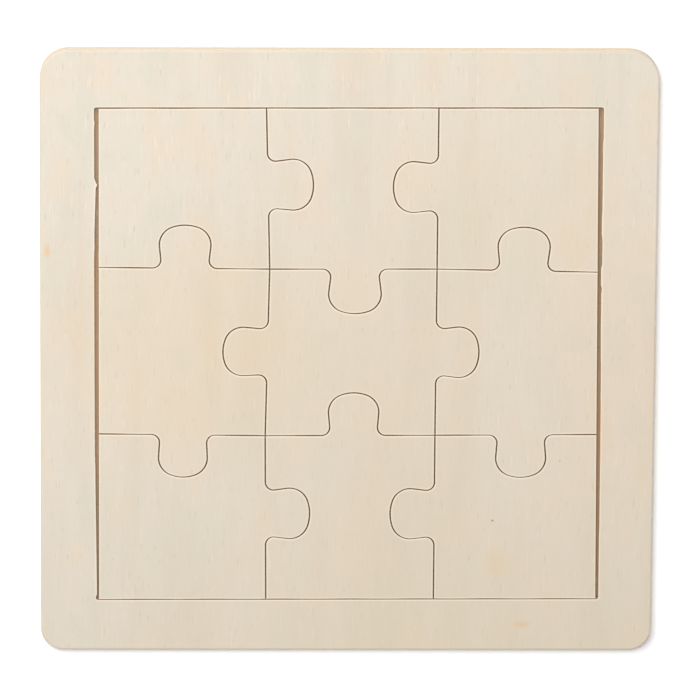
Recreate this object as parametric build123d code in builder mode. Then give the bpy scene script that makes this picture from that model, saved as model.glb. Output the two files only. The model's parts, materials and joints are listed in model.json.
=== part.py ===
"""Frame tray jigsaw puzzle: nine interlocking plywood pieces lying in a square plywood tray.

Millimetres. The tray lies flat, with +Z up out of its face, +X to its right and +Y to its top edge. The origin is
the middle of the tray's underside. Every board is three-ply wood, and each of its veneers is a solid of its own.
"""

import os
from collections import namedtuple
from math import atan2, hypot, pi, tan

from build123d import *

# The tray's outline
board_width = 150.0
board_height = 150.0
top_corner_radius = 7.2
bottom_corner_radius = 5.5
sanded_edge = 0.4  # the outer edges of the face and of the underside, rounded with sandpaper

# The sheet that the frame and the pieces are cut from
sheet_outer_veneer = 0.6
sheet_core = 1.8

# The backing that the frame is glued to
backing_outer_veneer = 0.5
backing_core = 1.0

# The window, by the rails of the frame around it
left_rail = 13.35
right_rail = 13.2
top_rail = 13.95
bottom_rail = 12.75
window_turn = 0.15  # degrees that the window was cut out of square with the board
window_corner_radius = 0.5

# The play around the nine pieces: the sides of the block lean a little, so each side gap has two values
Gap = namedtuple("Gap", "at_top at_bottom")
left_gap = Gap(at_top=1.1, at_bottom=0.73)
right_gap = Gap(at_top=1.25, at_bottom=0.68)
top_gap = 0.3
bottom_gap = 0.25

# The cuts between the pieces
kerf = 0.32
rows = ("top", "middle", "bottom")
columns = ("left", "middle", "right")

# The knob of the cutting die: straight runs of steel rule with tangent bends between them
knob_foot_width = 11.3  # between the two corners at its foot
knob_head_width = 13.2  # between its two shoulders
knob_shoulder_height = 9.0
knob_height = 11.25  # to the meeting of the two runs of its crown, before the bend
foot_bend = 2.0
shoulder_bend = 4.6
straight_run = 0.1  # left between the bend of a shoulder and the bend of the crown, which takes up the rest

# Each rule is bent by hand, so each knob is a little different: the way it stands out of its cut (1 is to the right
# of an upright cut or above a level one), how far it is shifted along the cut, and how much wider and taller it is
Knob = namedtuple("Knob", "side shift wider taller")
upright_knobs = {  # on each upright cut, from the top down
    1: (Knob(1, -0.9, 0.2, 0.3), Knob(-1, -0.15, -0.6, 0.15), Knob(1, -1.05, 0.5, 0.1)),
    2: (Knob(-1, -0.4, 0.2, 0.1), Knob(1, -0.05, 0.35, -0.25), Knob(-1, -0.9, 0.4, 0.1)),
}
level_knobs = {  # on each level cut, from the left
    1: (Knob(1, 0.25, 0.1, 0.0), Knob(-1, 0.4, 0.5, 0.4), Knob(1, 1.4, 0.3, 0.1)),
    2: (Knob(-1, 0.35, -0.9, -0.05), Knob(1, 0.85, -0.3, 0.0), Knob(-1, 1.15, -0.4, 0.0)),
}

# How far each cut stands off its even spacing, where it meets the block's side, the two cuts across it and the
# block's other side: upright cuts to the right, from the top down, and level cuts upwards, from the left
upright_drift = {1: (0.32, 1.16, 0.13, 0.33), 2: (1.58, 1.31, 0.97, 0.77)}
level_drift = {1: (1.55, 1.1, 1.08, 0.28), 2: (0.9, 0.4, 0.45, 0.6)}

# Worked out from the sizes above
backing_thickness = 2 * backing_outer_veneer + backing_core
window_width = board_width - left_rail - right_rail
window_height = board_height - top_rail - bottom_rail
window_plane = Plane(
    origin=((left_rail - right_rail) / 2, (bottom_rail - top_rail) / 2, 0)
).rotated((0, 0, window_turn))
sheet_veneers = (
    ("back_veneer", sheet_outer_veneer),
    ("core_veneer", sheet_core),
    ("face_veneer", sheet_outer_veneer),
)
backing_veneers = (
    ("back_veneer", backing_outer_veneer),
    ("core_veneer", backing_core),
    ("face_veneer", backing_outer_veneer),
)


def laid_up(veneers, underside):
    """The veneers of a board that lies on the underside level: each one's layer, level and thickness."""
    stack = []
    level = underside
    for layer, thickness in veneers:
        stack.append((layer, level, thickness))
        level += thickness
    return stack


def finish(veneer, board, layer):
    """Name one veneer and write it."""
    veneer.part.label = f"{board}_{layer}"
    export_step(veneer.part, f"parts/{veneer.part.label}.step")


def board_outline():
    """The tray's outline, with its four rounded corners."""
    with BuildSketch() as outline:
        Rectangle(board_width, board_height)
        corners = outline.vertices().group_by(Axis.Y)
        fillet(corners[-1], radius=top_corner_radius)
        corners = outline.vertices().group_by(Axis.Y)
        fillet(corners[0], radius=bottom_corner_radius)
    return outline.sketch


def window_outline():
    """The window, on its own plane."""
    with BuildSketch() as outline:
        RectangleRounded(window_width, window_height, window_corner_radius)
    return outline.sketch


def crossing(upright, level):
    """Where two cuts meet, on the window's plane: cuts 0 and 3 are the block's own sides, half a kerf outside it."""
    across = upright / len(columns)
    down = level / len(rows)
    half_width = window_width / 2 + kerf / 2
    left_side = -half_width + left_gap.at_top * (1 - down) + left_gap.at_bottom * down
    right_side = half_width - right_gap.at_top * (1 - down) - right_gap.at_bottom * down
    top_side = window_height / 2 - top_gap + kerf / 2
    bottom_side = -window_height / 2 + bottom_gap - kerf / 2
    x = left_side + (right_side - left_side) * across
    y = top_side + (bottom_side - top_side) * down
    if upright in upright_drift:
        x += upright_drift[upright][level]
    if level in level_drift:
        y += level_drift[level][upright]
    return Vector(x, y)


def knob_corners(start, end, knob):
    """The corners of the knob halfway along one side of a piece, from start to end, with the bend at each."""
    along = (end - start).normalized()
    sense = 1 if along.X > along.Y else -1  # whether this side runs as its cut does, to the right or down
    middle = (start + end) / 2 + along * knob.shift * sense
    out = along.rotate(Axis.Z, 90) * knob.side * sense
    foot = knob_foot_width / 2
    shoulder = (knob_head_width + knob.wider) / 2
    rise = knob_shoulder_height + knob.taller
    crown = knob_height + knob.taller
    pitch = atan2(crown - rise, shoulder)
    lean = atan2(shoulder - foot, rise)
    shoulder_run = shoulder_bend * tan((pi / 2 + lean - pitch) / 2)
    crown_run = hypot(crown - rise, shoulder) - shoulder_run - straight_run
    crown_bend = crown_run / tan(pitch)
    return [
        (middle - along * foot, foot_bend),
        (middle - along * shoulder + out * rise, shoulder_bend),
        (middle + out * crown, crown_bend),
        (middle + along * shoulder + out * rise, shoulder_bend),
        (middle + along * foot, foot_bend),
    ]


def inset(corners, amount):
    """Move an anticlockwise outline inwards: its corners are mitred and its bends keep their centres."""
    moved = []
    for index, (point, bend) in enumerate(corners):
        following = corners[(index + 1) % len(corners)][0]
        arriving = (point - corners[index - 1][0]).normalized()
        leaving = (following - point).normalized()
        inwards = (arriving.rotate(Axis.Z, 90), leaving.rotate(Axis.Z, 90))
        mitre = (inwards[0] + inwards[1]) / (1 + inwards[0].dot(inwards[1]))
        if bend:
            outward_corner = arriving.cross(leaving).Z > 0
            bend += -amount if outward_corner else amount
        moved.append((point + mitre * amount, bend))
    return moved


def piece_outline(row, column):
    """One piece, on the window's plane: its four sides run anticlockwise from its bottom left corner."""
    bottom_left = crossing(column, row + 1)
    bottom_right = crossing(column + 1, row + 1)
    top_right = crossing(column + 1, row)
    top_left = crossing(column, row)
    sides = (
        (bottom_left, bottom_right, level_knobs.get(row + 1), column),
        (bottom_right, top_right, upright_knobs.get(column + 1), row),
        (top_right, top_left, level_knobs.get(row), column),
        (top_left, bottom_left, upright_knobs.get(column), row),
    )
    corners = []
    for start, end, knobs, place in sides:
        corners.append((start, 0))
        if knobs:
            corners += knob_corners(start, end, knobs[place])
    corners = inset(corners, kerf / 2)
    with BuildSketch() as outline:
        with BuildLine():
            FilletPolyline(
                *[point for point, bend in corners],
                radius=[bend for point, bend in corners],
                close=True,
            )
        make_face()
    return outline.sketch


os.makedirs("parts", exist_ok=True)

# The backing: a plain board under the whole tray, its underside's edge sanded
backing = laid_up(backing_veneers, underside=0)
for layer, level, thickness in backing:
    with BuildPart() as veneer:
        with BuildSketch(Plane.XY.offset(level)):
            add(board_outline())
        extrude(amount=thickness)
        if level == 0:
            underside = veneer.faces().sort_by(Axis.Z)[0]
            fillet(underside.outer_wire().edges(), radius=sanded_edge)
    finish(veneer, "backing", layer)

# The frame: the same outline around the window, its face's outer edge sanded
sheet = laid_up(sheet_veneers, underside=backing_thickness)
for layer, level, thickness in sheet:
    with BuildPart() as veneer:
        with BuildSketch(Plane.XY.offset(level)):
            add(board_outline())
        extrude(amount=thickness)
        with BuildSketch(window_plane.offset(level)):
            add(window_outline())
        extrude(amount=thickness, mode=Mode.SUBTRACT)
        if layer == "face_veneer":
            face = veneer.faces().sort_by(Axis.Z)[-1]
            fillet(face.outer_wire().edges(), radius=sanded_edge)
    finish(veneer, "frame", layer)

# The nine pieces, resting on the backing and flush with the frame
for row, row_name in enumerate(rows):
    for column, column_name in enumerate(columns):
        centre = row_name == column_name == "middle"
        piece = "piece_centre" if centre else f"piece_{row_name}_{column_name}"
        for layer, level, thickness in sheet:
            with BuildPart() as veneer:
                with BuildSketch(window_plane.offset(level)):
                    add(piece_outline(row, column))
                extrude(amount=thickness)
            finish(veneer, piece, layer)
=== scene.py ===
"""The looks of a frame tray jigsaw puzzle: nine interlocking plywood pieces in a plywood tray.

Metres. The tray lies flat on the floor, with +Z up out of its face and the grain of its face veneers along
+Y. Every board is three veneers pressed together. Each veneer is rebuilt from its outline in the frame, with
the edges that sanding and the cutting die leave, and is then given its raised grain, torn fibres and wood.
"""

from __future__ import annotations

import json
import logging
import math
from dataclasses import dataclass, field
from enum import Enum
from typing import Any

import bmesh
import bpy
import numpy as np
from bpy.types import Material, NodeSocket, NodeTree, Object
from mathutils import Matrix, Vector
from mathutils.geometry import delaunay_2d_cdt

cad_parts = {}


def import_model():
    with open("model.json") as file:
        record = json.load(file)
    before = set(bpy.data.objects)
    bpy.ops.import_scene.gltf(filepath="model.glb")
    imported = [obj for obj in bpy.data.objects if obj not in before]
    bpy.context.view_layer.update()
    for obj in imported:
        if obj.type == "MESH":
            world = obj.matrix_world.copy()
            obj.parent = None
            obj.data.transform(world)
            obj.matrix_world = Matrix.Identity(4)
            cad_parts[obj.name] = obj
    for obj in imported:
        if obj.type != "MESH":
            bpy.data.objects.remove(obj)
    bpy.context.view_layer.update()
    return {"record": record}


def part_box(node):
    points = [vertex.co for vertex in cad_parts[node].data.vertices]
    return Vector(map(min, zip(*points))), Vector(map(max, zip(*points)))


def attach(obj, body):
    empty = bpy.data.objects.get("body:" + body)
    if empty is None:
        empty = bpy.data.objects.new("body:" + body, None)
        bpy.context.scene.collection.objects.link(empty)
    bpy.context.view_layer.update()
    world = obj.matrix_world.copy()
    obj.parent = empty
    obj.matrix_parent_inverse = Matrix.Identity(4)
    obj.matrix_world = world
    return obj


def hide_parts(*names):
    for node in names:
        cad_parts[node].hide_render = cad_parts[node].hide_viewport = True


MM = 0.001
SANDED_RADIUS_MM = 0.4  # of the board's outer edges
SHARP_CORNER = 0.8  # a corner is sharp where the cosine of its turn is less
MITRE_LIMIT = 0.25  # the least divisor of a mitre, at the sharpest corners
log = logging.getLogger("jigsaw")


# ---------------- small tools


def linear(colour: str) -> tuple[float, float, float, float]:
    """Turn an sRGB hex colour into the linear colour that a shader takes.

    Args:
        colour: six hex digits, such as "E8DCC8".

    Returns:
        Red, green and blue as linear light, and a full alpha.
    """
    channels = [int(colour[i : i + 2], 16) / 255 for i in (0, 2, 4)]
    red, green, blue = (c / 12.92 if c <= 0.04045 else ((c + 0.055) / 1.055) ** 2.4 for c in channels)
    return red, green, blue, 1.0


def add_node(tree: NodeTree, kind: str, inputs: dict[Any, Any] | None = None, **settings: Any) -> Any:
    """Add one node to a tree, with its settings, its values and its links.

    Args:
        tree: the shader or geometry tree.
        kind: the node's type name.
        inputs: for an input's name or number, an output socket to link or a value to set.
        settings: the node's own properties.

    Returns:
        The new node.
    """
    node = tree.nodes.new(kind)
    for name, value in settings.items():
        setattr(node, name, value)
    for key, value in (inputs or {}).items():
        if isinstance(value, NodeSocket):
            tree.links.new(value, node.inputs[key])
        else:
            node.inputs[key].default_value = value
    return node


# ---------------- finishes


class Layer(Enum):
    """Where a veneer lies in its board."""

    FACE = "face_veneer"
    CORE = "core_veneer"
    BACK = "back_veneer"


class Grain(Enum):
    """The way the fibres of a veneer run, as the axis they follow."""

    ALONG_Y = (0.0, 1.0, 0.0)
    ALONG_X = (1.0, 0.0, 0.0)


@dataclass(frozen=True)
class Mark:
    """A mark in the veneer's colour, a small one or a wide change of tone, at a place on the board."""

    x_mm: float
    y_mm: float
    across_mm: float
    along_mm: float
    colour: str
    strength: float


@dataclass(frozen=True)
class WoodFinish:
    """A veneer of bare wood, drawn in the board's millimetres, so that its grain runs on across the cuts."""

    name: str
    grain: Grain
    pale: str
    deep: str
    warm: str
    cool: str
    fleck: str
    wall: str
    end_grain: str
    # rim is the colour of the pale streaks, and of the painted highlight laid on the die-pressed arris, which
    # also lightens the sanded outer walls
    rim: str
    streak_across_mm: float = 0.3
    streak_along_mm: float = 5.0
    fleck_across_mm: float = 0.45
    fleck_along_mm: float = 3.6
    figure_across_mm: float = 9.0
    figure_along_mm: float = 60.0
    cloud_mm: float = 9.0
    roughness: float = 0.66
    end_grain_share: float = 0.4
    speck_spacing_mm: float = 42.0
    speck_mm: float = 0.3
    relief: float = 0.8
    relief_mm: float = 0.02
    sway_mm: float = 2.2
    marks: tuple[Mark, ...] = ()

    def build(self) -> Material:
        """Make the material.

        Returns:
            The finished material, for one or more veneers.
        """
        material = bpy.data.materials.new(self.name)
        material.use_nodes = True
        tree = material.node_tree
        tree.nodes.clear()
        board = self.board_millimetres(tree)
        colour = self.face_colour(tree, board)
        colour = self.draw_marks(tree, board, colour)
        colour = self.cut_walls(tree, board, colour)
        fibres = self.fibre_pattern(tree, board, self.streak_across_mm / 2, self.streak_along_mm, 3.0)
        flecks = self.fibre_pattern(tree, board, self.fleck_across_mm, self.fleck_along_mm, 1.0)
        height = add_node(tree, "ShaderNodeMath", {0: fibres, 1: flecks}, operation="ADD")
        bump = add_node(
            tree,
            "ShaderNodeBump",
            {"Strength": self.relief, "Distance": self.relief_mm * MM, "Height": height.outputs[0]},
        )
        rough = add_node(
            tree,
            "ShaderNodeMapRange",
            {"Value": fibres, "To Min": self.roughness - 0.06, "To Max": self.roughness + 0.1},
        )
        shader = add_node(
            tree,
            "ShaderNodeBsdfPrincipled",
            {
                "Base Color": colour,
                "Roughness": rough.outputs[0],
                "Normal": bump.outputs[0],
                "IOR": 1.5,
            },
        )
        add_node(tree, "ShaderNodeOutputMaterial", {"Surface": shader.outputs[0]})
        return material

    def board_millimetres(self, tree: NodeTree) -> NodeSocket:
        """Give the place on the board in millimetres, with X across the fibres and Y along them.

        Args:
            tree: the material's tree.

        Returns:
            A vector socket.
        """
        place = add_node(tree, "ShaderNodeTexCoord")
        turn = math.pi / 2 if self.grain is Grain.ALONG_X else 0.0
        scaled = add_node(
            tree,
            "ShaderNodeMapping",
            {"Vector": place.outputs["Object"], "Rotation": (0, 0, turn), "Scale": (1 / MM, 1 / MM, 1 / MM)},
        )
        wander = add_node(
            tree,
            "ShaderNodeTexNoise",
            {"Vector": self.stretched(tree, scaled.outputs[0], 30.0, 70.0), "Scale": 1.0, "Detail": 1.0},
        )
        sway = add_node(
            tree,
            "ShaderNodeVectorMath",
            {0: wander.outputs["Color"], 1: (-0.5, -0.5, -0.5)},
            operation="ADD",
        )
        swayed = add_node(
            tree,
            "ShaderNodeVectorMath",
            {0: sway.outputs[0], 1: (self.sway_mm, 0.0, 0.0), 2: scaled.outputs[0]},
            operation="MULTIPLY_ADD",
        )
        return swayed.outputs[0]

    @staticmethod
    def stretched(tree: NodeTree, board: NodeSocket, across: float, along: float) -> NodeSocket:
        """Divide the board's millimetres so that a pattern of unit size is across by along millimetres."""
        mapped = add_node(
            tree,
            "ShaderNodeVectorMath",
            {0: board, 1: (1 / across, 1 / along, 1 / across)},
            operation="MULTIPLY",
        )
        return mapped.outputs[0]

    def fibre_pattern(
        self, tree: NodeTree, board: NodeSocket, across: float, along: float, detail: float
    ) -> NodeSocket:
        """Noise drawn out along the fibres.

        Args:
            tree: the material's tree.
            board: the board's millimetres.
            across: the width of one fibre of the pattern, in millimetres.
            along: its length, in millimetres.
            detail: how many finer layers it has.

        Returns:
            A value socket from 0 to 1.
        """
        noise = add_node(
            tree,
            "ShaderNodeTexNoise",
            {"Vector": self.stretched(tree, board, across, along), "Scale": 1.0, "Detail": detail},
        )
        return noise.outputs["Fac"]

    def blend_in(
        self,
        tree: NodeTree,
        below: NodeSocket | tuple[float, ...],
        above: str,
        mask: NodeSocket,
        low: float,
        high: float,
        most: float,
    ) -> NodeSocket:
        """Lay a colour over another where a mask is high.

        Args:
            tree: the material's tree.
            below: the colour so far.
            above: the colour to lay over it, as sRGB hex.
            mask: the value that says where.
            low: the mask's value where the colour starts to show.
            high: the mask's value where it shows most.
            most: how much it shows there.

        Returns:
            The blended colour.
        """
        ramp = add_node(
            tree,
            "ShaderNodeMapRange",
            {"Value": mask, "From Min": low, "From Max": high, "To Min": 0.0, "To Max": most},
            interpolation_type="SMOOTHSTEP",
        )
        mix = add_node(
            tree, "ShaderNodeMix", {"Factor": ramp.outputs[0], 6: below, 7: linear(above)}, data_type="RGBA"
        )
        return mix.outputs[2]

    def face_colour(self, tree: NodeTree, board: NodeSocket) -> NodeSocket:
        """The colour of the veneer's face: figure, cloudy tints, pale and dark streaks, flecks and specks.

        Args:
            tree: the material's tree.
            board: the board's millimetres.

        Returns:
            A colour socket.
        """
        figure = self.fibre_pattern(tree, board, self.figure_across_mm, self.figure_along_mm, 3.0)
        colour = self.blend_in(tree, linear(self.pale), self.deep, figure, low=0.42, high=0.7, most=0.4)
        cloud = self.fibre_pattern(tree, board, self.cloud_mm, self.cloud_mm * 1.6, 2.0)
        colour = self.blend_in(tree, colour, self.warm, cloud, low=0.5, high=0.66, most=0.5)
        colour = self.blend_in(tree, colour, self.cool, cloud, low=0.48, high=0.34, most=0.5)
        streaks = self.fibre_pattern(tree, board, self.streak_across_mm, self.streak_along_mm, 1.0)
        colour = self.blend_in(tree, colour, self.rim, streaks, low=0.64, high=0.8, most=0.5)
        colour = self.blend_in(tree, colour, self.deep, streaks, low=0.4, high=0.2, most=0.4)
        flecks = self.fibre_pattern(tree, board, self.fleck_across_mm, self.fleck_along_mm, 1.0)
        colour = self.blend_in(tree, colour, self.fleck, flecks, low=0.36, high=0.2, most=0.45)
        cells = add_node(
            tree,
            "ShaderNodeTexVoronoi",
            {
                "Vector": self.stretched(tree, board, self.speck_spacing_mm, self.speck_spacing_mm * 1.6),
                "Scale": 1.0,
            },
            voronoi_dimensions="2D",
        )
        speck = self.speck_mm / self.speck_spacing_mm
        near = cells.outputs["Distance"]
        return self.blend_in(tree, colour, self.end_grain, near, low=speck, high=0.0, most=0.5)

    def draw_marks(self, tree: NodeTree, board: NodeSocket, colour: NodeSocket) -> NodeSocket:
        """Draw this veneer's own marks, such as a pin knot or a stain, at their places."""
        for mark in self.marks:
            offset = add_node(
                tree, "ShaderNodeVectorMath", {0: board, 1: (-mark.x_mm, -mark.y_mm, 0.0)}, operation="ADD"
            )
            shaped = add_node(
                tree,
                "ShaderNodeVectorMath",
                {0: offset.outputs[0], 1: (1 / mark.across_mm, 1 / mark.along_mm, 0.0)},
                operation="MULTIPLY",
            )
            reach = add_node(tree, "ShaderNodeVectorMath", {0: shaped.outputs[0]}, operation="LENGTH")
            near = reach.outputs["Value"]
            colour = self.blend_in(tree, colour, mark.colour, near, low=1.0, high=0.1, most=mark.strength)
        return colour

    def cut_walls(self, tree: NodeTree, board: NodeSocket, colour: NodeSocket) -> NodeSocket:
        """Tint the walls, darker where fibres are cut across, and paint a highlight on the rim that the die
        pressed.

        Args:
            tree: the material's tree.
            board: the board's millimetres.
            colour: the face's colour.

        Returns:
            The colour with its walls and rims.
        """
        place = add_node(tree, "ShaderNodeTexCoord")
        facing = add_node(
            tree,
            "ShaderNodeVectorMath",
            {0: place.outputs["Normal"], 1: self.grain.value},
            operation="DOT_PRODUCT",
        )
        across = add_node(tree, "ShaderNodeMath", {0: facing.outputs["Value"]}, operation="ABSOLUTE")
        wall = add_node(tree, "ShaderNodeAttribute", attribute_name="wall", attribute_type="GEOMETRY")
        rim = add_node(tree, "ShaderNodeAttribute", attribute_name="rim", attribute_type="GEOMETRY")
        # painted highlight: the rim colour lightens the die-pressed arris, and, by their pale share, the
        # sanded outer walls
        colour = self.blend_in(tree, colour, self.rim, rim.outputs["Fac"], low=0.0, high=1.0, most=0.6)
        colour = self.blend_in(tree, colour, self.wall, wall.outputs["Fac"], low=0.2, high=1.0, most=0.85)
        end_cells = add_node(
            tree,
            "ShaderNodeTexNoise",
            {"Vector": self.stretched(tree, board, 0.35, 0.35), "Scale": 1.0, "Detail": 2.0},
        )
        ends = end_cells.outputs["Fac"]
        for factor in (wall.outputs["Fac"], across.outputs[0]):
            ends = add_node(tree, "ShaderNodeMath", {0: ends, 1: factor}, operation="MULTIPLY").outputs[0]
        return self.blend_in(tree, colour, self.end_grain, ends, low=0.2, high=0.7, most=self.end_grain_share)


@dataclass(frozen=True)
class StudioFloorFinish:
    """A matt white painted floor, which reads as plain paper white under the studio light."""

    name: str = "matt_white_studio_floor"
    colour: str = "FFFFFF"
    roughness: float = 0.9

    def build(self) -> Material:
        """Make the material."""
        material = bpy.data.materials.new(self.name)
        material.use_nodes = True
        tree = material.node_tree
        tree.nodes.clear()
        shader = add_node(
            tree,
            "ShaderNodeBsdfPrincipled",
            {"Base Color": linear(self.colour), "Roughness": self.roughness},
        )
        add_node(tree, "ShaderNodeOutputMaterial", {"Surface": shader.outputs[0]})
        return material


# ---------------- outlines


@dataclass
class Loop:
    """One closed line of a veneer's outline, in metres: the wood is on its left."""

    points: np.ndarray
    is_window: bool

    def inward(self) -> np.ndarray:
        """The mitred way into the wood at each point."""
        before = self.points - np.roll(self.points, 1, axis=0)
        after = np.roll(self.points, -1, axis=0) - self.points
        normals = []
        for run in (before, after):
            length = np.linalg.norm(run, axis=1, keepdims=True)
            unit = run / np.maximum(length, 1e-12)
            normals.append(np.stack([-unit[:, 1], unit[:, 0]], axis=1))
        dot = (normals[0] * normals[1]).sum(axis=1, keepdims=True)
        return (normals[0] + normals[1]) / np.maximum(1 + dot, MITRE_LIMIT)

    def spaced(self, step: float, clear: float) -> Loop:
        """The same line with its long runs divided, and its corners kept.

        Args:
            step: the most that two points may be apart, away from a corner.
            clear: how far a sharp corner's two neighbours stand off it, so that the line can be set in.

        Returns:
            A new loop.
        """
        runs = np.roll(self.points, -1, axis=0) - self.points
        lengths = np.linalg.norm(runs, axis=1)
        headings = runs / lengths[:, None]
        sharp = (headings * np.roll(headings, 1, axis=0)).sum(axis=1) < SHARP_CORNER
        made = []
        for i, start in enumerate(self.points):
            first = clear if sharp[i] else 0.0
            last = lengths[i] - (clear if sharp[(i + 1) % len(sharp)] else 0.0)
            parts = max(1, math.ceil((last - first) / step))
            places = [first + (last - first) * k / parts for k in range(parts + 1)]
            if last < lengths[i]:
                places.append(lengths[i])
            if first > 0:
                places.insert(0, 0.0)
            made += [start + headings[i] * place for place in places[:-1]]
        return Loop(np.array(made), self.is_window)


def signed_area(points: np.ndarray) -> float:
    """The area inside a closed line, positive if it runs anticlockwise."""
    x, y = points[:, 0], points[:, 1]
    return float((x * np.roll(y, -1) - np.roll(x, -1) * y).sum() / 2)


def inside(points: np.ndarray, line: np.ndarray) -> np.ndarray:
    """Which of the points lie inside a closed line."""
    x, y = points[:, 0][:, None], points[:, 1][:, None]
    x0, y0 = line[:, 0][None], line[:, 1][None]
    x1, y1 = np.roll(line[:, 0], -1)[None], np.roll(line[:, 1], -1)[None]
    spans = (y0 > y) != (y1 > y)
    with np.errstate(divide="ignore", invalid="ignore"):
        crossing = x0 + (y - y0) * (x1 - x0) / (y1 - y0)
    return ((spans & (x < crossing)).sum(axis=1) % 2) == 1


def outline_of(node: str) -> list[Loop]:
    """Read a CAD veneer's outline from its mesh.

    Args:
        node: the CAD node's name.

    Returns:
        Its outer line, anticlockwise, and then its window, if it has one, clockwise.
    """
    source = bmesh.new()
    source.from_mesh(bpy.data.objects[node].data)
    bmesh.ops.remove_doubles(source, verts=source.verts, dist=1e-7)
    low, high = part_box(node)
    best: list[Loop] = []
    widest = 0.0
    for level in (low[2], high[2]):
        loops = level_loops(source, level)
        size = max((abs(signed_area(points)) for points in loops), default=0.0)
        if size > widest:
            widest = size
            best = [Loop(points, False) for points in loops]
    source.free()
    best.sort(key=lambda loop: -abs(signed_area(loop.points)))
    for i, loop in enumerate(best):
        loop.is_window = i > 0
        if (signed_area(loop.points) > 0) == loop.is_window:
            loop.points = loop.points[::-1].copy()
    return best


def level_loops(source: bmesh.types.BMesh, level: float) -> list[np.ndarray]:
    """The closed lines around a mesh's flat faces at one level."""
    # a dict, since a set of faces has another order in each run, and the slivers start where the line does
    flat = dict.fromkeys(f for f in source.faces if all(abs(v.co.z - level) < 1e-6 for v in f.verts))
    following: dict[Any, Any] = {}
    for face in flat:
        for corner in face.loops:
            others = [f for f in corner.edge.link_faces if f is not face]
            if not any(f in flat for f in others):
                following[corner.vert] = corner.link_loop_next.vert
    lines = []
    while following:
        start, vert = following.popitem()
        line = [start]
        while vert is not start:
            line.append(vert)
            vert = following.pop(vert)
        lines.append(np.array([(v.co.x, v.co.y) for v in line]))
    return lines


# ---------------- veneers


class Edge(Enum):
    """How an arris of a veneer was left: steps of (into the wood, down from the face), in millimetres."""

    SQUARE = ()
    DIE_PRESSED = ((0.0, 0.09), (0.03, 0.035), (0.1, 0.008), (0.22, 0.0))
    DIE_BREAKOUT = ((0.0, 0.05), (0.05, 0.0))
    SANDED = tuple(
        tuple(SANDED_RADIUS_MM * (1 - way(math.radians(turn))) for way in (math.cos, math.sin))
        for turn in range(0, 91, 15)
    )


@dataclass(frozen=True)
class TornStretch:
    """A stretch of one upright side of the window where the face veneer tore along its grain.

    side is -1 for the left one and 1 for the right one. The stretch runs down from y_mm, and hangs over the
    window by overhang_mm, or stands back from it where that is negative.
    """

    side: int
    y_mm: float
    length_mm: float
    overhang_mm: float
    rise_mm: float = 0.8
    fall_mm: float = 2.0

    def reach(self, y: np.ndarray) -> np.ndarray:
        """How far it reaches over the window at each of these heights on the board, in metres."""
        from_top = self.y_mm - y / MM
        to_end = self.length_mm - from_top
        share = np.minimum(from_top / self.rise_mm, to_end / self.fall_mm)
        return np.clip(share, 0, 1) * self.overhang_mm * MM


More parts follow.
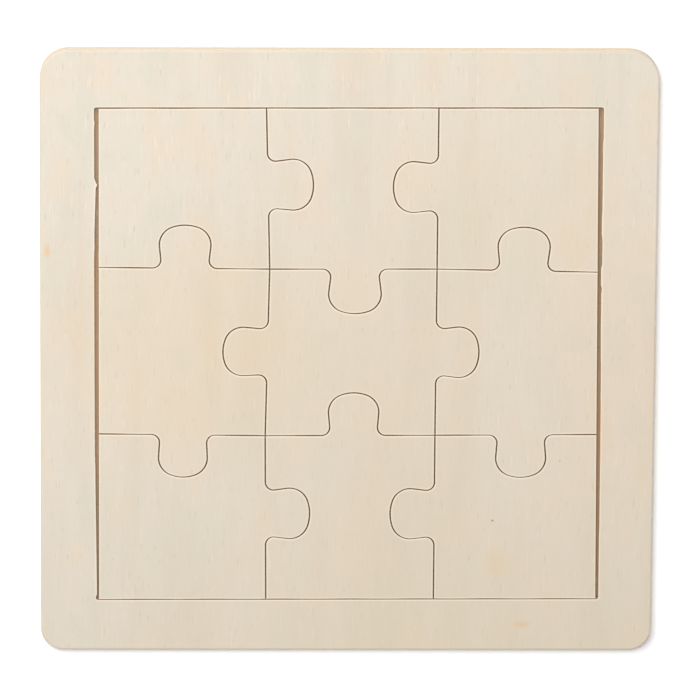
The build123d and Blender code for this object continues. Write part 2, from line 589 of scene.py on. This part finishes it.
@dataclass
class Veneer:
    """One veneer of a board, rebuilt from the outline of its CAD node."""

    node: str
    top_outer: Edge = Edge.SQUARE
    top_window: Edge = Edge.SQUARE
    bottom_outer: Edge = Edge.SQUARE
    step_mm: float = 0.35
    rim_mm: float = 0.45
    cell_mm: float = 1.6
    shown_top: bool = False
    shown_bottom: bool = False
    recess_mm: float = 0.0
    outer_wall: float = 1.0
    spring_mm: float = 0.0
    torn: tuple[TornStretch, ...] = ()

    def build(self, name: str) -> Object:
        """Make the veneer's mesh.

        Args:
            name: the new piece's name.

        Returns:
            A closed object at the origin, with "wall" and "rim" attributes on its points.
        """
        low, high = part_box(self.node)
        loops = [loop.spaced(self.step_mm * MM, self.rim_mm * 1.4 * MM) for loop in outline_of(self.node)]
        verts: list[tuple[float, float, float]] = []
        walls: list[float] = []
        rims: list[float] = []
        faces: list[tuple[int, ...]] = []
        bottoms: list[tuple[int, np.ndarray]] = []
        tops: list[tuple[int, np.ndarray]] = []
        for loop in loops:
            top_edge = self.top_window if loop.is_window else self.top_outer
            bottom_edge = Edge.SQUARE if loop.is_window else self.bottom_outer
            rings = self.rings(low[2], high[2], top_edge, bottom_edge, loop.is_window)
            arris = self.torn_line(loop)
            count = len(loop.points)
            first = len(verts)
            for into, level, wall, rim in rings:
                line = arris if wall else loop
                ring = line.points + line.inward() * (into - rim * self.spring(line))
                verts += [(float(x), float(y), level) for x, y in ring]
                walls += [wall] * count
                rims += [rim] * count
            for r in range(len(rings) - 1):
                a, b = first + r * count, first + (r + 1) * count
                faces += [(a + i, a + (i + 1) % count, b + (i + 1) % count, b + i) for i in range(count)]
            for ends, start in ((bottoms, first), (tops, first + (len(rings) - 1) * count)):
                ends.append((start, np.array([v[:2] for v in verts[start : start + count]])))
        self.cap(bottoms, low[2], self.shown_bottom, False, verts, faces)
        self.cap(tops, high[2], self.shown_top, True, verts, faces)
        walls += [0.0] * (len(verts) - len(walls))
        rims += [0.0] * (len(verts) - len(rims))
        mesh = bpy.data.meshes.new(name)
        mesh.from_pydata(verts, [], faces)
        for label, values in (("wall", walls), ("rim", rims)):
            attribute = mesh.attributes.new(label, "FLOAT", "POINT")
            attribute.data.foreach_set("value", values)
        mesh.shade_smooth()
        mesh.set_sharp_from_angle(angle=math.radians(50))
        mesh.update()
        piece = bpy.data.objects.new(name, mesh)
        bpy.context.scene.collection.objects.link(piece)
        return piece

    def rings(
        self, low: float, high: float, top: Edge, bottom: Edge, is_window: bool
    ) -> list[tuple[float, float, float, float]]:
        """The rings of a loop from its underside up.

        Args:
            low: the level of the veneer's underside.
            high: the level of its face.
            top: how its upper arris was left.
            bottom: how its lower arris was left.
            is_window: whether the loop is the window's.

        Returns:
            For each ring: how far into the wood it is, its level, and its wall and rim values.
        """
        recess = self.recess_mm * MM
        rough = 1.0 if is_window else self.outer_wall
        pale = 1.0 - rough
        made = []
        if bottom is not Edge.SQUARE:
            pressed = 0.0 if bottom is Edge.SANDED else 0.5
            steps = reversed(bottom.value)
            made += [(into * MM, low + up * MM, rough / 2, pressed) for into, up in steps]
        else:
            made.append((recess, low, rough, pale))
        thickness = high - low
        made += [(recess, low + thickness * share, rough, pale) for share in (0.35, 0.65)]
        if top is not Edge.SQUARE:
            # the rim value of a pressed arris weighs its painted highlight, and how far its cut fibres spring
            # back
            pressed = 0.0 if top is Edge.SANDED else 1.0
            made += [(into * MM, high - down * MM, rough / 4, pressed) for into, down in top.value]
        else:
            made.append((recess, high, rough, pale))
        if self.shown_top and top is not Edge.SQUARE:
            made.append((self.rim_mm * MM, high, 0.0, 0.0))
        made.sort(key=lambda ring: (ring[1], ring[0]))
        return made

    def spring(self, line: Loop) -> np.ndarray:
        """How far fibres that were cut across sprang back over the cut: unevenly, and most on level runs."""
        level_run = line.inward()[:, 1:] ** 2
        middling, wave_mm = 0.6, (2.7, 4.3)
        place = line.points / MM
        uneven = middling + (1 - middling) * np.sin(place[:, :1] / wave_mm[0] + place[:, 1:] / wave_mm[1])
        return self.spring_mm * MM * np.clip(level_run, 0, 1) * uneven

    def torn_line(self, loop: Loop) -> Loop:
        """The loop as its arris runs, with the torn stretches of the window's upright sides."""
        points = loop.points.copy()
        if loop.is_window:
            x, y = loop.points[:, 0], loop.points[:, 1]
            for stretch in self.torn:
                edge = (x * stretch.side).max() * stretch.side
                on_side = np.abs(x - edge) < 0.6 * MM
                points[on_side, 0] -= stretch.side * stretch.reach(y[on_side])
        return Loop(points, loop.is_window)

    def cap(
        self,
        rings: list[tuple[int, np.ndarray]],
        level: float,
        shown: bool,
        up: bool,
        verts: list[tuple[float, float, float]],
        faces: list[tuple[int, ...]],
    ) -> None:
        """Close one side of the veneer with triangles, with points of its own in between where it is seen.

        Args:
            rings: for each loop, the number of its first point here and its points.
            level: the height of this side.
            shown: whether this side can be seen.
            up: whether it faces up.
            verts: the mesh's points, which the new ones are added to.
            faces: the mesh's faces, which the new ones are added to.
        """
        points = [Vector(p) for _, ring in rings for p in ring]
        numbers = [first + i for first, ring in rings for i in range(len(ring))]
        edges = []
        start = 0
        for _, ring in rings:
            edges += [(start + i, start + (i + 1) % len(ring)) for i in range(len(ring))]
            start += len(ring)
        if shown:
            for p in self.field_points(rings):
                points.append(Vector(p))
                numbers.append(len(verts))
                verts.append((float(p[0]), float(p[1]), level))
        out_points, _, out_faces, origins, _, _ = delaunay_2d_cdt(points, edges, [], 1, 1e-9)
        places = np.array([p[:] for p in out_points])
        triangles = np.array(out_faces)
        corners = places[triangles]
        wooden = np.ones(len(triangles), bool)
        for _, window in rings[1:]:
            wooden &= ~inside(corners.mean(axis=1), window)
        along, across = corners[:, 1] - corners[:, 0], corners[:, 2] - corners[:, 0]
        turns_left = along[:, 0] * across[:, 1] - along[:, 1] * across[:, 0] > 0
        for triangle, left in zip(triangles[wooden], turns_left[wooden]):
            made = [numbers[origins[i][0]] for i in triangle]
            faces.append(tuple(made if left == up else reversed(made)))

    def field_points(self, rings: list[tuple[int, np.ndarray]]) -> np.ndarray:
        """Evenly spaced points inside the veneer, clear of its outline."""
        outer = rings[0][1]
        cell = self.cell_mm * MM
        low, high = outer.min(axis=0), outer.max(axis=0)
        rows = np.arange(low[1] + cell / 2, high[1], cell * math.sqrt(3) / 2)
        grid = []
        for i, y in enumerate(rows):
            shift = cell / 2 if i % 2 else 0.0
            for x in np.arange(low[0] + cell / 2 + shift, high[0], cell):
                grid.append((x, y))
        grid = np.array(grid)
        keep = inside(grid, outer)
        for _, window in rings[1:]:
            keep &= ~inside(grid, window)
        grid = grid[keep]
        border = np.concatenate([ring for _, ring in rings])
        clear = np.ones(len(grid), bool)
        for i in range(0, len(grid), 400):
            part = grid[i : i + 400]
            gap = ((part[:, None] - border[None]) ** 2).sum(axis=2).min(axis=1)
            clear[i : i + 400] = gap > (0.42 * cell) ** 2
        return grid[clear]


# ---------------- geometry nodes


def new_geometry_tree(name: str, sizes: dict[str, tuple[str, Any]]) -> NodeTree:
    """Start a geometry tree with a geometry input and output and named inputs for its sizes.

    Args:
        name: the tree's name.
        sizes: for each named input, its socket type and its value.

    Returns:
        The new tree, with its input and output nodes.
    """
    tree = bpy.data.node_groups.new(name, "GeometryNodeTree")
    tree.interface.new_socket("Geometry", in_out="INPUT", socket_type="NodeSocketGeometry")
    tree.interface.new_socket("Geometry", in_out="OUTPUT", socket_type="NodeSocketGeometry")
    for label, (kind, value) in sizes.items():
        socket = tree.interface.new_socket(label, in_out="INPUT", socket_type=kind)
        if value is not None:
            socket.default_value = value
    return tree


def bake(piece: Object, tree: NodeTree, values: dict[str, Any]) -> None:
    """Run a geometry tree on a piece once, and keep the plain mesh that it gives.

    Args:
        piece: the object, whose mesh is replaced.
        tree: the tree to run.
        values: a value for each named input that isn't left as it is.
    """
    modifier = piece.modifiers.new(tree.name, "NODES")
    modifier.node_group = tree
    names = {item.name: item.identifier for item in tree.interface.items_tree if item.in_out == "INPUT"}
    for label, value in values.items():
        modifier[names[label]] = value
    bpy.context.view_layer.update()
    evaluated = piece.evaluated_get(bpy.context.evaluated_depsgraph_get())
    mesh = bpy.data.meshes.new_from_object(evaluated)
    piece.modifiers.remove(modifier)
    old = piece.data
    piece.data = mesh
    mesh.name = piece.name
    if old.users == 0 and isinstance(old, bpy.types.Mesh):
        bpy.data.meshes.remove(old)


@dataclass(frozen=True)
class RaisedGrain:
    """The relief of a veneer: shallow waves along its fibres on the face, and roughly torn walls."""

    relief_mm: float = 0.028
    grain_across_mm: float = 2.4
    grain_along_mm: float = 26.0
    wall_tear_mm: float = 0.045
    tear_size_mm: float = 0.5
    seed: float = 3.0

    def tree(self) -> NodeTree:
        """Build the tree that moves a veneer's points.

        Returns:
            A tree with named inputs for each of the sizes.
        """
        tree = new_geometry_tree(
            "raised_grain",
            {
                "Relief": ("NodeSocketFloat", self.relief_mm * MM),
                "Grain Size": ("NodeSocketVector", (1.0, 1.0, 1.0)),
                "Wall Tear": ("NodeSocketFloat", self.wall_tear_mm * MM),
                "Tear Size": ("NodeSocketFloat", self.tear_size_mm * MM),
                "Seed": ("NodeSocketFloat", self.seed),
                "Wood": ("NodeSocketMaterial", None),
            },
        )
        given = add_node(tree, "NodeGroupInput").outputs
        place = add_node(tree, "GeometryNodeInputPosition").outputs[0]
        normal = add_node(tree, "GeometryNodeInputNormal").outputs[0]
        named = add_node(tree, "GeometryNodeInputNamedAttribute", {"Name": "wall"}, data_type="FLOAT")
        wall = named.outputs[0]

        grain_place = add_node(
            tree, "ShaderNodeVectorMath", {0: place, 1: given["Grain Size"]}, operation="DIVIDE"
        )
        waves = add_node(
            tree,
            "ShaderNodeTexNoise",
            {"Vector": grain_place.outputs[0], "W": given["Seed"], "Scale": 1.0, "Detail": 2.0},
            noise_dimensions="4D",
        )
        upright = add_node(tree, "ShaderNodeSeparateXYZ", {0: normal})
        facing = add_node(tree, "ShaderNodeMath", {0: upright.outputs[2]}, operation="ABSOLUTE")
        on_face = add_node(tree, "ShaderNodeMath", {0: 1.0, 1: wall}, operation="SUBTRACT", use_clamp=True)
        sink = waves.outputs[0]
        for factor in (given["Relief"], on_face.outputs[0], facing.outputs[0], -1.0):
            sink = add_node(tree, "ShaderNodeMath", {0: sink, 1: factor}, operation="MULTIPLY").outputs[0]

        per_tear = add_node(tree, "ShaderNodeMath", {0: 1.0, 1: given["Tear Size"]}, operation="DIVIDE")
        tear_place = add_node(
            tree, "ShaderNodeVectorMath", {0: place, "Scale": per_tear.outputs[0]}, operation="SCALE"
        )
        tears = add_node(
            tree,
            "ShaderNodeTexNoise",
            {"Vector": tear_place.outputs[0], "W": given["Seed"], "Scale": 1.0, "Detail": 1.0},
            noise_dimensions="4D",
        )
        tear = tears.outputs[0]
        for factor in (given["Wall Tear"], wall, -1.0):
            tear = add_node(tree, "ShaderNodeMath", {0: tear, 1: factor}, operation="MULTIPLY").outputs[0]

        moves = []
        for axes, depth in (((1.0, 1.0, 0.0), tear), ((0.0, 0.0, 1.0), sink)):
            way = add_node(tree, "ShaderNodeVectorMath", {0: normal, 1: axes}, operation="MULTIPLY")
            move = add_node(
                tree, "ShaderNodeVectorMath", {0: way.outputs[0], "Scale": depth}, operation="SCALE"
            )
            moves.append(move.outputs[0])
        move = add_node(tree, "ShaderNodeVectorMath", {0: moves[0], 1: moves[1]})

        shaped = add_node(tree, "GeometryNodeSetPosition", {0: given["Geometry"], "Offset": move.outputs[0]})
        real = add_node(tree, "GeometryNodeRealizeInstances", {0: shaped.outputs[0]})
        wooden = add_node(tree, "GeometryNodeSetMaterial", {0: real.outputs[0], "Material": given["Wood"]})
        add_node(tree, "NodeGroupOutput", {0: wooden.outputs[0]})
        return tree

    def press(self, piece: Object, tree: NodeTree, grain: Grain, wood: Material, sunk: float) -> None:
        """Give one veneer its relief and its wood.

        Args:
            piece: the veneer.
            tree: the tree from this class.
            grain: the way its fibres run.
            wood: its material.
            sunk: how deep its relief is, as a share of the usual depth.
        """
        across, along = self.grain_across_mm * MM, self.grain_along_mm * MM
        size = (along, across, across) if grain is Grain.ALONG_X else (across, along, across)
        bake(
            piece,
            tree,
            {
                "Relief": self.relief_mm * MM * sunk,
                "Grain Size": size,
                "Wall Tear": self.wall_tear_mm * MM,
                "Seed": self.seed,
                "Wood": wood,
            },
        )


@dataclass(frozen=True)
class TornFibres:
    """The fine fibres left standing along a cut: slivers that lie along the grain, just under the face."""

    spacing_mm: float = 1.3
    share_left: float = 0.42
    length_mm: float = 0.28
    thickness_mm: float = 0.05
    lean_deg: float = 12.0
    sides: int = 5
    seed: int = 11

    def tree(self) -> NodeTree:
        """Build the tree that turns a closed line of edges into slivers along it.

        Returns:
            A tree with named inputs for each of the sizes.
        """
        tree = new_geometry_tree(
            "torn_fibres",
            {
                "Spacing": ("NodeSocketFloat", self.spacing_mm * MM),
                "Length": ("NodeSocketFloat", self.length_mm * MM),
                "Thickness": ("NodeSocketFloat", self.thickness_mm * MM),
                "Lean": ("NodeSocketFloat", math.radians(self.lean_deg)),
                "Seed": ("NodeSocketInt", self.seed),
                "Wood": ("NodeSocketMaterial", None),
            },
        )
        given = add_node(tree, "NodeGroupInput").outputs
        line = add_node(tree, "GeometryNodeMeshToCurve", {0: given["Geometry"]})
        points = add_node(
            tree,
            "GeometryNodeCurveToPoints",
            {"Curve": line.outputs[0], "Length": given["Spacing"]},
            mode="LENGTH",
        )
        kept = add_node(
            tree,
            "FunctionNodeRandomValue",
            {"Probability": self.share_left, "Seed": given["Seed"]},
            data_type="BOOLEAN",
        )
        half = add_node(tree, "ShaderNodeMath", {0: given["Length"], 1: 0.5}, operation="MULTIPLY")
        sliver = add_node(
            tree,
            "GeometryNodeMeshCone",
            {
                "Vertices": self.sides,
                "Side Segments": 2,
                "Radius Top": 0.0,
                "Radius Bottom": given["Thickness"],
                "Depth": half.outputs[0],
            },
        )
        back = add_node(tree, "ShaderNodeMath", {0: given["Lean"], 1: -1.0}, operation="MULTIPLY")
        least = add_node(tree, "ShaderNodeCombineXYZ", {2: back.outputs[0]})
        most = add_node(tree, "ShaderNodeCombineXYZ", {2: given["Lean"]})
        lean = add_node(
            tree,
            "FunctionNodeRandomValue",
            {"Min": least.outputs[0], "Max": most.outputs[0], "Seed": given["Seed"]},
            data_type="FLOAT_VECTOR",
        )
        along_grain = add_node(
            tree, "ShaderNodeVectorMath", {0: lean.outputs[0], 1: (math.pi / 2, 0.0, 0.0)}, operation="ADD"
        )
        stretch = add_node(
            tree,
            "FunctionNodeRandomValue",
            {"Min": (0.5, 0.5, 0.5), "Max": (1.0, 1.0, 2.0), "Seed": given["Seed"]},
            data_type="FLOAT_VECTOR",
        )
        standing = add_node(
            tree,
            "GeometryNodeInstanceOnPoints",
            {
                "Points": points.outputs[0],
                "Selection": kept.outputs[3],
                "Instance": sliver.outputs["Mesh"],
                "Rotation": along_grain.outputs[0],
                "Scale": stretch.outputs[0],
            },
        )
        real = add_node(tree, "GeometryNodeRealizeInstances", {0: standing.outputs[0]})
        wooden = add_node(tree, "GeometryNodeSetMaterial", {0: real.outputs[0], "Material": given["Wood"]})
        add_node(tree, "NodeGroupOutput", {0: wooden.outputs[0]})
        return tree

    def stand_along(
        self, node: str, torn: tuple[TornStretch, ...], tree: NodeTree, wood: Material
    ) -> Object:
        """Stand slivers along the cuts of one face veneer.

        Args:
            node: the face veneer's CAD node.
            torn: its torn stretches, which the slivers follow.
            tree: the tree from this class.
            wood: the face veneer's material.

        Returns:
            The slivers, as one object.
        """
        veneer = Veneer(node, torn=torn)
        loops = outline_of(node)
        cuts = [loop for loop in loops if loop.is_window] or loops
        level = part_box(node)[1][2] - 3 * self.thickness_mm * MM
        verts, edges = [], []
        for loop in cuts:
            line = veneer.torn_line(loop.spaced(0.5 * MM, 0.6 * MM))
            points = line.points - line.inward() * self.thickness_mm * MM * 0.4
            first, count = len(verts), len(points)
            verts += [(float(x), float(y), level) for x, y in points]
            edges += [(first + i, first + (i + 1) % count) for i in range(count)]
        mesh = bpy.data.meshes.new(f"{node}_torn_fibres")
        mesh.from_pydata(verts, edges, [])
        fibres = bpy.data.objects.new(mesh.name, mesh)
        bpy.context.scene.collection.objects.link(fibres)
        bake(fibres, tree, {"Seed": self.seed + sum(map(ord, node)) % 97, "Wood": wood})
        return fibres


# ---------------- boards


@dataclass
class Workshop:
    """What every board is built with: the finished woods, each node's slot, and the trees of its wear."""

    materials: dict[str, Material]
    slots: dict[str, str]
    relief: RaisedGrain = field(default_factory=RaisedGrain)
    fibres: TornFibres = field(default_factory=TornFibres)

    def __post_init__(self) -> None:
        """Build each tree once, for every board."""
        self.relief_tree = self.relief.tree()
        self.fibres_tree = self.fibres.tree()


@dataclass
class Plywood:
    """A three-ply board: how each of its veneers is cut, and what it is made of."""

    name: str
    body: str
    woods: dict[Layer, WoodFinish]
    top_outer: Edge = Edge.DIE_PRESSED
    top_window: Edge = Edge.SQUARE
    bottom_outer: Edge = Edge.DIE_BREAKOUT
    shown_bottom: bool = True
    torn: tuple[TornStretch, ...] = ()
    core_recess_mm: float = 0.04
    spring_mm: float = 0.0
    outer_wall: float = 1.0
    is_cut: bool = True

    def build(self, shop: Workshop) -> None:
        """Make the board's three veneers, each in place of its CAD node, and the torn fibres of its cuts.

        Args:
            shop: the woods, slots and wear that every board shares.
        """
        for layer in Layer:
            node = f"{self.name}_{layer.value}"
            veneer = Veneer(node, outer_wall=self.outer_wall)
            if layer is Layer.FACE:
                veneer.top_outer = self.top_outer
                veneer.top_window = self.top_window
                veneer.spring_mm = self.spring_mm
                veneer.shown_top = True
                veneer.torn = self.torn
            elif layer is Layer.CORE:
                veneer.recess_mm = self.core_recess_mm
            else:
                veneer.bottom_outer = self.bottom_outer
                veneer.shown_bottom = self.shown_bottom
            wood = self.woods[layer]
            piece = veneer.build(f"{node}_wood")
            sunk = 1.0 if veneer.shown_top or veneer.shown_bottom else 0.0
            shop.relief.press(piece, shop.relief_tree, wood.grain, shop.materials[wood.name], sunk)
            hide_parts(node)
            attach(piece, self.body)
            log.info("%s: %d faces of %s", piece.name, len(piece.data.polygons), wood.name)
        if self.is_cut:
            face = f"{self.name}_{Layer.FACE.value}"
            wood = self.woods[Layer.FACE]
            fibres = shop.fibres.stand_along(face, self.torn, shop.fibres_tree, shop.materials[wood.name])
            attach(fibres, self.body)
            log.info("%s: %d faces of %s", fibres.name, len(fibres.data.polygons), wood.name)


BASSWOOD_FACE = WoodFinish(
    # Rotary-cut basswood, sanded and left bare: pale cream, almost without figure, with fine upright streaks
    name="basswood_face_veneer_sanded",
    grain=Grain.ALONG_Y,
    pale="C4BBAD",
    deep="B9AE9B",
    warm="C6B7A3",
    cool="BDB9A9",
    fleck="A99B86",
    wall="D0AF87",
    end_grain="BE9868",
    # the rim colour is the painted highlight on the pressed arris, and the colour of the pale streaks
    rim="D6CAB6",
    marks=(
        # the first mark makes the board darker and yellower towards its bottom right; the next four are wide
        # patches of tone; the last five are small marks
        Mark(30.0, -95.0, 150.0, 110.0, "BEAE94", 0.45),
        Mark(4.0, 2.0, 78.0, 78.0, "BCAE98", 0.35),
        Mark(-42.0, 0.0, 60.0, 40.0, "C6AE8C", 0.25),
        Mark(66.0, 2.0, 30.0, 60.0, "C4A888", 0.22),
        Mark(42.0, 42.0, 50.0, 50.0, "C2B094", 0.2),
        Mark(-73.0, 25.5, 1.3, 2.6, "CB9F65", 0.5),
        Mark(43.5, -68.5, 3.2, 1.3, "C49F73", 0.4),
        Mark(37.0, -53.0, 5.0, 6.0, "C4AE8D", 0.4),
        Mark(36.2, -42.1, 0.42, 0.42, "6D5840", 0.8),
        Mark(52.2, -27.0, 0.3, 0.35, "8B7356", 0.6),
    ),
)
BASSWOOD_BACK = WoodFinish(
    # The other side of the same sheet, unsanded: a shade deeper, with a more open streak
    name="basswood_back_veneer_unsanded",
    grain=Grain.ALONG_Y,
    pale="C3B6A0",
    deep="B3A286",
    warm="BFAC8D",
    cool="BAB19E",
    fleck="A59173",
    wall="CAA882",
    end_grain="B48E5E",
    rim="CDBFA5",
    roughness=0.74,
    streak_across_mm=0.5,
)
POPLAR_CORE = WoodFinish(
    # Core ply with its grain across the faces': browner, with open ends of fibres on the upright cuts
    name="poplar_core_veneer_cut",
    grain=Grain.ALONG_X,
    pale="C4B398",
    deep="B49F7E",
    warm="BEA788",
    cool="B8AA91",
    fleck="9C8460",
    wall="D6B286",
    end_grain="AA8356",
    rim="E2D6BE",
    roughness=0.8,
)
BACKING_VENEER_WITH_PAINTED_SHADE = WoodFinish(
    # The backing's plain veneer: poplar, a little greyer and more figured than the faces, and darker: partly
    # its own tone, partly painted shade for where it shows down in the gaps around the pieces
    name="poplar_backing_veneer",
    grain=Grain.ALONG_Y,
    pale="AD9072",
    deep="9B8362",
    warm="A98D6A",
    cool="A29177",
    fleck="866E4B",
    wall="BD9A73",
    end_grain="A07E56",
    rim="E4D8C0",
    roughness=0.74,
    figure_across_mm=7.0,
)
SHEET = {Layer.FACE: BASSWOOD_FACE, Layer.CORE: POPLAR_CORE, Layer.BACK: BASSWOOD_BACK}
BACKING = {Layer.FACE: BACKING_VENEER_WITH_PAINTED_SHADE, Layer.CORE: POPLAR_CORE, Layer.BACK: BACKING_VENEER_WITH_PAINTED_SHADE}


@dataclass
class Tray:
    """The frame, glued to its backing."""

    torn: tuple[TornStretch, ...] = (
        TornStretch(-1, 43.4, 13.5, 0.36, rise_mm=0.9, fall_mm=11.0),
        TornStretch(-1, 42.3, 1.3, 0.42, rise_mm=0.5, fall_mm=0.8),
        TornStretch(-1, 58.0, 2.6, 0.14),
        TornStretch(-1, 26.0, 55.0, -0.13, rise_mm=3.0, fall_mm=4.0),
        TornStretch(-1, -33.0, 28.6, 0.27, rise_mm=26.0, fall_mm=0.6),
        TornStretch(1, 53.2, 25.0, 0.1, rise_mm=0.5, fall_mm=2.0),
        TornStretch(1, 36.0, 7.5, 0.1, rise_mm=2.0, fall_mm=1.0),
        TornStretch(1, 22.3, 6.0, 0.25, rise_mm=1.2, fall_mm=0.7),
        TornStretch(1, 16.0, 20.0, 0.14, rise_mm=1.0, fall_mm=8.0),
        TornStretch(1, -11.5, 20.0, -0.2, rise_mm=4.0, fall_mm=5.0),
        TornStretch(1, -31.0, 15.0, -0.12, rise_mm=0.5, fall_mm=4.0),
    )
    sanded_wall: float = 0.15

    def boards(self) -> list[Plywood]:
        """The frame and the backing, as boards to build."""
        return [
            Plywood(
                "frame",
                "tray",
                SHEET,
                top_outer=Edge.SANDED,
                top_window=Edge.DIE_PRESSED,
                bottom_outer=Edge.SQUARE,
                shown_bottom=False,
                torn=self.torn,
                outer_wall=self.sanded_wall,
            ),
            Plywood(
                "backing",
                "tray",
                BACKING,
                top_outer=Edge.SQUARE,
                bottom_outer=Edge.SANDED,
                outer_wall=self.sanded_wall,
                is_cut=False,
            ),
        ]


@dataclass
class JigsawBlock:
    """The nine loose pieces, cut from the same sheet as the frame."""

    rows: tuple[str, ...] = ("top", "middle", "bottom")
    columns: tuple[str, ...] = ("left", "middle", "right")
    spring_mm: float = 0.075

    def boards(self) -> list[Plywood]:
        """One board for each piece, on a body of its own."""
        made = []
        for row in self.rows:
            for column in self.columns:
                centre = row == column == "middle"
                name = "piece_centre" if centre else f"piece_{row}_{column}"
                made.append(Plywood(name, name, SHEET, spring_mm=self.spring_mm))
        return made


# ---------------- studio


@dataclass(frozen=True)
class Softbox:
    """A square soft light that faces the board."""

    name: str
    place: tuple[float, float, float]
    size: float
    watts: float


@dataclass
class Studio:
    """A plain white floor, soft light from the board's top left, and the camera above it."""

    floor_size: float = 4.0
    camera_place: tuple[float, float, float] = (-0.0383, 0.4125, 1.7589)
    camera_aim: tuple[float, float, float] = (0.0005, 0.0008, 0.005)
    camera_roll_deg: float = 0.385
    lens_mm: float = 380.0
    sky_strength: float = 0.25
    softboxes: tuple[Softbox, ...] = (
        Softbox("key_softbox", (-0.19, 0.31, 0.72), 0.5, 6.6),
        Softbox("front_softbox", (-0.03, 0.42, 1.70), 0.4, 11.5),
    )
    floor: StudioFloorFinish = field(default_factory=StudioFloorFinish)

    def build(self) -> None:
        """Lay the floor, hang the lights and stand the camera."""
        self.lay_floor()
        self.light()
        self.stand_camera()
        scene = bpy.context.scene
        scene.view_settings.view_transform = "Standard"
        scene.view_settings.look = "None"

    def lay_floor(self) -> None:
        """Lay the floor at the level that the tray stands on."""
        half = self.floor_size / 2
        corners = [(-half, -half, 0), (half, -half, 0), (half, half, 0), (-half, half, 0)]
        mesh = bpy.data.meshes.new("studio_floor")
        mesh.from_pydata(corners, [], [(0, 1, 2, 3)])
        mesh.materials.append(self.floor.build())
        floor = bpy.data.objects.new("studio_floor", mesh)
        bpy.context.scene.collection.objects.link(floor)

    def light(self) -> None:
        """Light the set with a dim white room, a soft key light from the top left and one by the camera."""
        world = bpy.data.worlds.new("soft_white_room")
        bpy.context.scene.world = world
        world.use_nodes = True
        world.node_tree.nodes.clear()
        sky = add_node(
            world.node_tree,
            "ShaderNodeBackground",
            {"Color": (1.0, 1.0, 1.0, 1.0), "Strength": self.sky_strength},
        )
        add_node(world.node_tree, "ShaderNodeOutputWorld", {"Surface": sky.outputs[0]})
        for softbox in self.softboxes:
            lamp = bpy.data.lights.new(softbox.name, "AREA")
            lamp.shape = "SQUARE"
            lamp.size = softbox.size
            lamp.energy = softbox.watts
            light = bpy.data.objects.new(softbox.name, lamp)
            light.location = softbox.place
            light.visible_camera = False
            light.rotation_euler = Vector(softbox.place).to_track_quat("Z", "Y").to_euler()
            bpy.context.scene.collection.objects.link(light)

    def stand_camera(self) -> None:
        """Stand the camera above the board's top edge, looking down a little towards its bottom edge."""
        camera = bpy.data.cameras.new("camera")
        camera.lens = self.lens_mm
        camera.clip_start = 0.05
        view = bpy.data.objects.new("camera", camera)
        place = Vector(self.camera_place)
        back = (place - Vector(self.camera_aim)).normalized()
        right = Vector((0, 1, 0)).cross(back).normalized()
        right = Matrix.Rotation(math.radians(self.camera_roll_deg), 3, back) @ right
        up = back.cross(right)
        view.matrix_world = Matrix.Translation(place) @ Matrix((right, up, back)).transposed().to_4x4()
        bpy.context.scene.collection.objects.link(view)
        bpy.context.scene.camera = view


def main() -> None:
    """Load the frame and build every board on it."""
    logging.basicConfig(level=logging.INFO, format="%(name)s %(message)s")
    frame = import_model()
    Studio().build()
    woods = (BASSWOOD_FACE, BASSWOOD_BACK, POPLAR_CORE, BACKING_VENEER_WITH_PAINTED_SHADE)
    shop = Workshop(
        materials={wood.name: wood.build() for wood in woods},
        slots={part["node"]: part["material_slot"] for part in frame["record"]["subparts"]},
    )
    for board in Tray().boards() + JigsawBlock().boards():
        board.build(shop)


if __name__ == "__main__":
    main()
